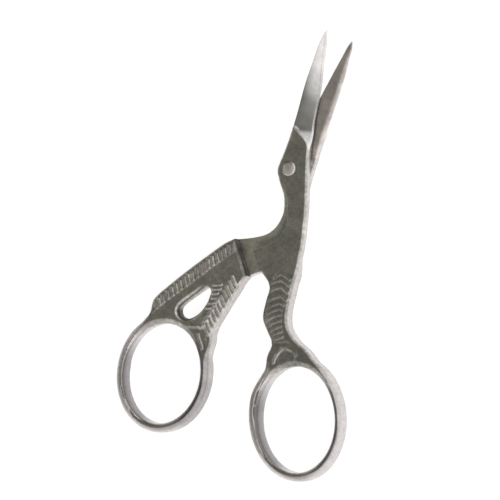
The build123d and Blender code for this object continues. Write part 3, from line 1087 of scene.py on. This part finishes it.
rear_loop = chain([rear_left, rear_right, rear_arm, rear_tip], rear_step)
wall_lines = []
wl = math.dist(WALL_TOP, WALL_FOOT)
wn = np.array([-(WALL_FOOT[1] - WALL_TOP[1]) / wl,
               (WALL_FOOT[0] - WALL_TOP[0]) / wl])       # towards the arm
near_wall = lambda q: (-13.5 < q[0] < -8.2) and (-21.8 < q[1] < -12.8)
tops, feet = [], []
for off, store in ((-0.015, tops), (0.015, feet)):
    a = np.array(WALL_TOP) + wn * off
    b = np.array(WALL_FOOT) + wn * off
    hits = [q for _, q in cross_loop(rear_loop, [tuple(a), tuple(b)]) if near_wall(q)]
    hits = sorted(hits, key=lambda q: -q[1])
    store += [hits[0], hits[-1]]
rear_loop = clear_near(rear_loop, tops + feet, 0.09)
rear_loop = add_vertices(rear_loop, tops + feet)
for a, b in (tops, feet):
    n = 30
    wall_lines.append(np.array([a + (b - a) * i / n for i in range(n + 1)]))
for off in (0.04, 0.11, 0.20, 0.32, 0.46, 0.62):
    a = tops[0] - wn * off
    b = tops[1] - wn * off
    n = 30
    wall_lines.append(np.array([a + (b - a) * (i + 0.5) / (n + 1) for i in range(1, n - 1)]))

RL = [rear_loop,
      resample(rear_hole, lambda x, y: 0.36 + 0 * x)[:-1],
      resample(window, lambda x, y: 0.16 + 0 * x)[:-1],
      rear_bore[:-1]]
RW = widths_of(RL, REAR_EDGES)
wing_zone = lambda x, y: (x < -9.8) & (y > -36.9) & (y < -13.6)
rear_top_sheet = sheet(
    RL, RW, REAR_EDGES,
    [(0.115, wing_zone), (0.17, lambda x, y: (y < -31.0) & (x < -27.4)),
     (0.34, lambda x, y: y < 100)], wall_lines)
rear_bottom_sheet = sheet(
    RL, RW, REAR_EDGES,
    [(0.15, wing_zone), (0.20, lambda x, y: (y > 2.5) & (y < 10.5)),
     (0.40, lambda x, y: y < 100)], [])


def rear_marks(v, side):
    p, z = v[:, :2], v[:, 2]
    x, y = (p - DRAW).T
    top, under = side < 0.25, side > 0.75
    wall = ~top & ~under
    s = high_side(p)
    high = s > 0
    inner = top & ~high & (y > 2.0)
    lx = np.interp(x, REAR_SCOOP_X, REAR_SCOOP_Y)
    polish = under * smooth(-0.1, 0.5, y - lx)
    polish = np.maximum(polish, wall * smooth(5, 8, y))
    tone = np.ones(len(v))
    r = wing_relief(p)
    dressed = (top & high | under) & (y > -37.2) & (x < -10.2)
    tone *= np.where(dressed, 0.90 + 0.20 * smooth(0.02, 0.2, r)
                     + 0.15 * smooth(-31.0, -29.5, y) * smooth(-14.0, -17.0, y), 1.0)
    q = p - DRAW
    db, sb, _ = line_distance(q, BAND_FOOT)
    band = smooth(-0.35, 0.15, -db * sb) * (x < -10.2) * (y > -29.5)
    tone *= np.where(dressed, 1 - (0.19 + 0.20 * smooth(1.3, 0.2, -db * sb)) * band, 1.0)
    # the window's lip and wall are black where they face away from the light
    dw, iw = E_RW.near(p)
    down = smooth(-0.1, 0.75, E_RW.turn[np.clip(iw, 0, len(E_RW.turn) - 1)])
    face = np.where(E_RW.turn[np.clip(iw, 0, len(E_RW.turn) - 1)] > 0.2, 1.0, 0.0)
    shut = 0.17 + 0.63 * down
    shut = np.where((x > -19.0) & (y < -24.0), 0.62, shut)
    tone *= np.where(wall, np.where(dw < 0.1, shut, 1.0),
                     shut + (1 - shut) * smooth(0.30, 0.42, dw))
    # painted highlight along the window's rim
    rim = top & (dw > 0.30) & (dw < 0.85)
    tone *= np.where(rim, 1 + 0.12 * bump(np.abs(dw - 0.55), 0.3), 1.0)
    dh = E_RH.near(p)[0]
    # painted shade on the ring's inner side
    tone *= ring_inner_painted_shade(REAR_HOLE, p[:, 0], p[:, 1], dh, z, 0.60, 0.75)
    dr = E_RR.near(p)[0]
    line = smooth_line_and_painted_highlight(REAR_HOLE, p[:, 0], p[:, 1], dr, 1.25) * top
    # painted highlight along the ring's outer left side
    tone *= 1 + 0.25 * line
    # painted shade on the outer part of the ring's left rounding
    tone *= 1 - 0.27 * top * ring_left(REAR_RING, x, y) * smooth(0.64, 0.50, dr)
    turn = around(REAR_HOLE, p[:, 0], p[:, 1])
    right = smooth(-84, -62, turn) * smooth(40, 12, turn) * (dh > 0.55) * (p[:, 1] < -36.0)
    tone *= 1 - 0.34 * right * (1 - 0.35 * smooth(-14, -4, turn))
    ring = ringness_rear(x, y) * (x < -17.0)
    outer = wall & (dh > 1) & (dw > 0.3)
    # painted shade: outer walls darken towards the table; walls right of x = -17.5 are darker overall
    tone *= np.where(outer & (y < -21), 1.0 - 0.10 * smooth(1.4, 0.2, z)
                     - 0.14 * (x > -17.5), 1.0)
    # shade at the foot of the wing's wall
    foot = top & ~high & (p[:, 1] < -12.8) & (p[:, 1] > WALL_FOOT[1] - 0.1)
    tone *= np.where(foot, np.interp(-s, [0.0, 0.03, 0.12, 0.35], [0.34, 0.34, 0.85, 1.0]), 1.0)
    # painted shade on the wing's side of its wall, darkest at the wall
    strip_on = top & high & (s < 0.8) & (p[:, 1] > WALL_FOOT[1] - 0.2)
    tone = np.where(strip_on, tone * np.interp(s, [0.0, 0.03, 0.10, 0.30, 0.50, 0.8],
                                               [0.16, 0.16, 0.38, 0.58, 0.78, 1.0]), tone)
    # the plate is brighter along the rear half's left edge; painted light brightens it a little way out from
    # the wing's wall
    plate = top & ~high & (y <= -2.0) & (p[:, 1] > WALL_FOOT[1])
    d = E_RL.near(p)[0]
    tone *= np.where(plate, 1.0 + 0.45 * smooth(1.4, 0.5, d) * smooth(-9.5, -7.0, x)
                     + 0.62 * smooth(0.0, 0.75, -s) * smooth(5.0, 2.2, -s), 1.0)
    # and painted shadow lies along the front half's edge, which covers this face
    df = E_FR.near(p)[0]
    mark = inner & (y < 20)
    reach = np.interp(y, [2, 8, 12, 20], [0.42, 0.42, 0.24, 0.18])
    tone *= np.where(mark, 1 - 0.62 * smooth(1.25, 0.8, df / reach), 1.0)
    tone *= np.where(inner, 1.0 + 0.30 * smooth(10, 4, y), 1.0)
    clean = np.clip(ring + 0.8 * outer, 0, 1)
    tone *= 1 + 0.06 * relief(p, WOBBLE) * (1 - 0.6 * clean)
    return {"polish": polish, "inner": inner * 1.0, "clean": clean, "line": line,
            "tone": np.clip(tone, 0.03, 1.6)}


rear = solid("rear_half_forging", RL, rear_top_sheet, rear_bottom_sheet,
             rear_top_z, rear_bottom_z, 6, 0.02, rear_marks)


# --------------------------------------------------------------------- rivet
def rivet():
    profile = [(0.0, 4.09)]
    for i in range(1, 12):                      # nearly flat crown
        r = 1.16 * i / 11
        profile.append((r, 4.09 - 0.15 * (r / 1.16) ** 2))
    for i in range(1, 9):                       # rounded rim
        a = math.radians(11 + 74 * i / 8)
        profile.append((1.16 + 0.305 * (math.sin(a) - 0.19) / 0.81,
                        3.94 - 0.26 * (0.982 - math.cos(a)) / 0.982))
    profile += [(1.478, 3.652), (1.470, 3.637), (1.44, 3.632), (1.10, 3.632),
                (1.10, 2.6), (1.10, 1.8), (1.095, 0.52), (1.30, 0.32), (1.54, 0.075),
                (1.56, 0.035), (1.53, 0.012), (1.40, 0.004), (0.9, 0.012),
                (0.45, 0.004), (0.0, 0.002)]
    n = 96
    verts, faces = [], []
    rows = []
    for r, z in profile:
        if r == 0:
            rows.append([len(verts)])
            verts.append((0, 0, z))
            continue
        row = []
        for i in range(n):
            a = 2 * math.pi * i / n
            dz = 0.0
            if z > 3.7:      # the head was set with a few blows
                dz = (0.013 * math.cos(2 * a + 0.7) + 0.008 * math.cos(3 * a - 0.4)) \
                    * (r / 1.44) ** 2 * max(0.0, 1.3 - r) * 2.0
            row.append(len(verts))
            verts.append((r * math.cos(a), r * math.sin(a), z + dz))
        rows.append(row)
    for a, b in zip(rows, rows[1:]):
        for i in range(n):
            j = (i + 1) % n
            if len(a) == 1:
                faces.append((a[0], b[i], b[j]))
            elif len(b) == 1:
                faces.append((a[i], b[0], a[j]))
            else:
                faces.append((a[i], b[i], b[j], a[j]))
    mesh = bpy.data.meshes.new("pivot_rivet_head")
    mesh.from_pydata([tuple(c * MM for c in v) for v in verts], [], faces)
    mesh.validate()
    mesh.polygons.foreach_set("use_smooth", np.ones(len(mesh.polygons), bool))
    mesh.set_sharp_from_angle(angle=math.radians(35))
    at = mesh.attributes.new("tone", "FLOAT", "POINT")
    tone = []
    for v in mesh.vertices:
        r = math.hypot(v.co.x, v.co.y) / MM
        turn = math.degrees(math.atan2(v.co.y, v.co.x))
        away = abs((turn - 140 + 180) % 360 - 180)      # from the shaded side
        shade = min(1.0, max(0.0, (110 - away) / 60)) * min(1.0, max(0.0, (r - 1.02) / 0.16))
        tone.append(1 - 0.72 * shade if v.co.z > 3.6 * MM else 1.0)
    at.data.foreach_set("value", np.array(tone, np.float32))
    obj = bpy.data.objects.new("pivot_rivet_head", mesh)
    bpy.context.scene.collection.objects.link(obj)
    return obj


eye = rivet()


# ----------------------------------------------------------------- materials
def srgb(r, g, b):
    return tuple(((c / 255 + 0.055) / 1.055) ** 2.4 if c > 10 else c / 255 / 12.92
                 for c in (r, g, b)) + (1.0,)


class Tree:
    def __init__(self, tree):
        self.t = tree

    def node(self, kind, **inputs):
        n = self.t.nodes.new(kind)
        for key, value in inputs.items():
            if hasattr(n, key) and key not in n.inputs:
                setattr(n, key, value)
        return n

    def link(self, a, b):
        self.t.links.new(a, b)

    def maths(self, op, a, b=None, c=None, clamp=False):
        n = self.t.nodes.new("ShaderNodeMath")
        n.operation, n.use_clamp = op, clamp
        for i, v in enumerate((a, b, c)):
            if v is None:
                continue
            if isinstance(v, (int, float)):
                n.inputs[i].default_value = v
            else:
                self.link(v, n.inputs[i])
        return n.outputs[0]

    def ramp(self, value, lo, hi, a=0.0, b=1.0, kind="SMOOTHSTEP"):
        n = self.t.nodes.new("ShaderNodeMapRange")
        n.interpolation_type = kind
        self.link(value, n.inputs["Value"])
        for key, v in (("From Min", lo), ("From Max", hi), ("To Min", a), ("To Max", b)):
            n.inputs[key].default_value = v
        return n.outputs["Result"]

    def noise(self, vector, scale, detail=3.0, rough=0.5, out="Fac"):
        n = self.t.nodes.new("ShaderNodeTexNoise")
        n.inputs["Scale"].default_value = scale
        n.inputs["Detail"].default_value = detail
        n.inputs["Roughness"].default_value = rough
        self.link(vector, n.inputs["Vector"])
        return n.outputs[out]

    def mapping(self, vector, scale=(1, 1, 1), turn=(0, 0, 0)):
        n = self.t.nodes.new("ShaderNodeMapping")
        n.inputs["Scale"].default_value = scale
        n.inputs["Rotation"].default_value = turn
        self.link(vector, n.inputs["Vector"])
        return n.outputs[0]

    def mix(self, fac, a, b):
        n = self.t.nodes.new("ShaderNodeMix")
        n.data_type = "RGBA"
        ins = [s for s in n.inputs if s.type == "RGBA"]
        if isinstance(fac, (int, float)):
            n.inputs[0].default_value = fac
        else:
            self.link(fac, n.inputs[0])
        for s, v in zip(ins, (a, b)):
            if isinstance(v, tuple):
                s.default_value = v
            else:
                self.link(v, s)
        return [s for s in n.outputs if s.type == "RGBA"][0]

    def attribute(self, name):
        n = self.t.nodes.new("ShaderNodeAttribute")
        n.attribute_name = name
        return n.outputs["Fac"]


def new_material(name):
    m = bpy.data.materials.new(name)
    m.use_nodes = True
    t = m.node_tree
    t.nodes.clear()
    tree = Tree(t)
    out = t.nodes.new("ShaderNodeOutputMaterial")
    bsdf = t.nodes.new("ShaderNodeBsdfPrincipled")
    t.links.new(bsdf.outputs[0], out.inputs[0])
    return m, tree, bsdf


def blend(t, fac, a, b):
    """Mix of two numbers, either of which may be a socket."""
    n = t.t.nodes.new("ShaderNodeMix")
    n.data_type = "FLOAT"
    t.link(fac, n.inputs[0])
    for i, v in ((2, a), (3, b)):
        if isinstance(v, (int, float)):
            n.inputs[i].default_value = v
        else:
            t.link(v, n.inputs[i])
    return n.outputs[0]


def times(t, colour, number):
    n = t.t.nodes.new("ShaderNodeVectorMath")
    n.operation = "SCALE"
    t.link(colour, n.inputs[0])
    t.link(number, n.inputs["Scale"])
    return n.outputs[0]


def forging_material(name):
    """Satin nickel over forged steel, with ground blade faces."""
    m, t, bsdf = new_material(name)
    place = t.t.nodes.new("ShaderNodeTexCoord").outputs["Object"]
    polish, inner, tone = t.attribute("polish"), t.attribute("inner"), t.attribute("tone")
    clean, line = t.attribute("clean"), t.attribute("line")
    broad = t.noise(place, 430, 3, 0.6)
    mid = t.noise(place, 1300, 4, 0.65)
    fine = t.noise(place, 5200, 3, 0.6)
    # colour: grey nickel, a little greener or browner from place to place
    a = t.mix(t.ramp(broad, 0.40, 0.60), srgb(216, 215, 206), srgb(218, 210, 206))
    a = t.mix(t.ramp(mid, 0.34, 0.66, 0.0, 0.75), a, srgb(160, 159, 151))
    # rings and outer walls: smoother, handled bright, a little pink
    bare = t.mix(t.ramp(mid, 0.3, 0.7), srgb(222, 217, 216), srgb(205, 199, 197))
    a = t.mix(clean, a, bare)
    blade = t.mix(t.ramp(mid, 0.3, 0.7), srgb(246, 243, 242), srgb(234, 232, 229))
    back = t.mix(t.ramp(broad, 0.35, 0.65), srgb(220, 213, 208), srgb(204, 196, 189))
    back = t.mix(t.ramp(mid, 0.35, 0.70, 0.0, 0.5), back, srgb(178, 170, 162))
    colour = t.mix(inner, t.mix(polish, a, blade), back)
    t.link(times(t, colour, tone), bsdf.inputs["Base Color"])
    bsdf.inputs["Metallic"].default_value = 1.0
    # roughness
    satin = t.ramp(mid, 0.3, 0.72, 0.28, 0.42, "LINEAR")
    dull = t.ramp(tone, 0.2, 1.0, 0.12, 0.0, "LINEAR")
    satin = blend(t, clean, t.maths("ADD", satin, dull),
                  t.ramp(mid, 0.3, 0.7, 0.32, 0.40, "LINEAR"))
    satin = blend(t, line, satin, 0.16)
    r = blend(t, polish, satin, t.ramp(mid, 0.3, 0.7, 0.14, 0.22, "LINEAR"))
    r = blend(t, inner, r, t.ramp(mid, 0.3, 0.7, 0.46, 0.54, "LINEAR"))
    t.link(r, bsdf.inputs["Roughness"])
    # grinding lines across the blade, a fine grain on the forging
    lines = t.noise(t.mapping(place, (900, 14000, 900), (0, 0, math.radians(16))), 1.0, 2, 0.5)
    grain = t.maths("ADD", t.maths("MULTIPLY", fine, 0.55), t.maths("MULTIPLY", mid, 1.5))
    h = blend(t, t.maths("MAXIMUM", polish, inner), grain, t.maths("MULTIPLY", lines, 0.25))
    b = t.t.nodes.new("ShaderNodeBump")
    b.inputs["Strength"].default_value = 0.45
    b.inputs["Distance"].default_value = 0.00003
    h = t.maths("MULTIPLY", h, t.maths("SUBTRACT", 1.0, t.maths("MULTIPLY", clean, 0.55)))
    t.link(h, b.inputs["Height"])
    t.link(b.outputs[0], bsdf.inputs["Normal"])
    return m


def rivet_material(name):
    m, t, bsdf = new_material(name)
    place = t.t.nodes.new("ShaderNodeTexCoord").outputs["Object"]
    broad = t.noise(place, 900, 2, 0.5)
    mid = t.noise(place, 2400, 3, 0.55)
    fine = t.noise(place, 9000, 3, 0.6)
    a = t.mix(t.ramp(broad, 0.4, 0.6), srgb(247, 242, 236), srgb(234, 229, 222))
    a = t.mix(t.ramp(mid, 0.35, 0.7, 0.0, 0.5), a, srgb(214, 209, 201))
    t.link(times(t, a, t.attribute("tone")), bsdf.inputs["Base Color"])
    bsdf.inputs["Metallic"].default_value = 1.0
    t.link(t.ramp(mid, 0.3, 0.7, 0.42, 0.52, "LINEAR"), bsdf.inputs["Roughness"])
    b = t.t.nodes.new("ShaderNodeBump")
    b.inputs["Strength"].default_value = 0.35
    b.inputs["Distance"].default_value = 0.00002
    t.link(t.maths("ADD", mid, t.maths("MULTIPLY", fine, 0.4)), b.inputs["Height"])
    t.link(b.outputs[0], bsdf.inputs["Normal"])
    return m


steel = forging_material("satin_nickel_forging")
front.data.materials.append(steel)
rear.data.materials.append(steel)
eye.data.materials.append(rivet_material("polished_rivet"))

for piece, body, node in ((front, "front", "front_half"), (rear, "rear", "rear_half"),
                          (eye, "rear", "pivot_rivet")):
    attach(piece, body)
    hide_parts(node)


# --------------------------------------------------------------------- stage
def floor():
    mesh = bpy.data.meshes.new("floor")
    s, n = 60.0, 24
    verts, faces = [(0, 0, -0.00002)], []
    for i in range(n):
        a = 2 * math.pi * i / n
        verts.append((s * math.cos(a), s * math.sin(a), -0.00002))
    for i in range(n):
        faces.append((0, 1 + i, 1 + (i + 1) % n))
    mesh.from_pydata(verts, [], faces)
    obj = bpy.data.objects.new("floor", mesh)
    bpy.context.scene.collection.objects.link(obj)
    m, t, bsdf = new_material("pale_floor")
    bsdf.inputs["Base Color"].default_value = (0.30, 0.30, 0.30, 1)
    bsdf.inputs["Roughness"].default_value = 1.0
    bsdf.inputs["Specular IOR Level"].default_value = 0.0
    bsdf.inputs["Emission Color"].default_value = (1, 1, 1, 1)
    bsdf.inputs["Emission Strength"].default_value = 0.90
    mesh.materials.append(m)
    return obj


floor()


def world():
    w = bpy.data.worlds.new("studio")
    bpy.context.scene.world = w
    w.use_nodes = True
    w.node_tree.nodes.clear()
    t = Tree(w.node_tree)
    out = w.node_tree.nodes.new("ShaderNodeOutputWorld")
    back = w.node_tree.nodes.new("ShaderNodeBackground")
    t.link(back.outputs[0], out.inputs[0])
    where = w.node_tree.nodes.new("ShaderNodeTexCoord").outputs["Generated"]
    sep = w.node_tree.nodes.new("ShaderNodeSeparateXYZ")
    t.link(where, sep.inputs[0])
    x, y, z = sep.outputs
    right = t.ramp(x, 0.02, 0.34, 0.0, 0.88)
    near = t.ramp(t.maths("MULTIPLY", y, -1.0), 0.12, 0.62, 0.0, 0.50)
    streak = t.maths("MULTIPLY", t.ramp(x, -0.90, -0.83), t.ramp(x, -0.68, -0.76))
    streak = t.maths("MULTIPLY", streak, 0.68)
    light = t.maths("ADD", t.maths("ADD", right, near), streak, clamp=True)
    edge = t.ramp(z, 0.03, 0.10, 1.0, 0.0)
    light = blend(t, edge, light, 1.0)
    colour = t.mix(light, (0.128, 0.130, 0.104, 1), (1.0, 0.99, 1.0, 1))
    t.link(colour, back.inputs["Color"])
    back.inputs["Strength"].default_value = 1.0


world()

# -------------------------------------------------------------------- camera
cam_data = bpy.data.cameras.new("camera")
cam_data.sensor_fit = "HORIZONTAL"
cam_data.sensor_width = 36.0
cam_data.lens = 291.646
cam = bpy.data.objects.new("camera", cam_data)
bpy.context.scene.collection.objects.link(cam)
ca, cb = 0.42, -0.05
cg = math.sqrt(1 - ca * ca - cb * cb)
ck = math.hypot(cg, ca)
C = Vector((ca, cb, cg))
R = Vector((cg, 0, -ca)) / ck
U = Vector((-ca * cb / ck, ck, -cb * cg / ck))
target = Vector((-10.003, -15.624, 0.0))
place = (target + 800.0 * C) * MM
cam.matrix_world = Matrix(((R.x, U.x, C.x, place.x), (R.y, U.y, C.y, place.y),
                           (R.z, U.z, C.z, place.z), (0, 0, 0, 1)))
cam_data.clip_start, cam_data.clip_end = 0.05, 200.0
bpy.context.scene.camera = cam

view = bpy.context.scene.view_settings
view.view_transform = "Standard"
view.look = "None"
view.exposure = 0.0
view.gamma = 1.0

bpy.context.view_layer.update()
for o in (front, rear, eye):
    print("PIECE", o.name, len(o.data.vertices), "verts", len(o.data.polygons), "faces")
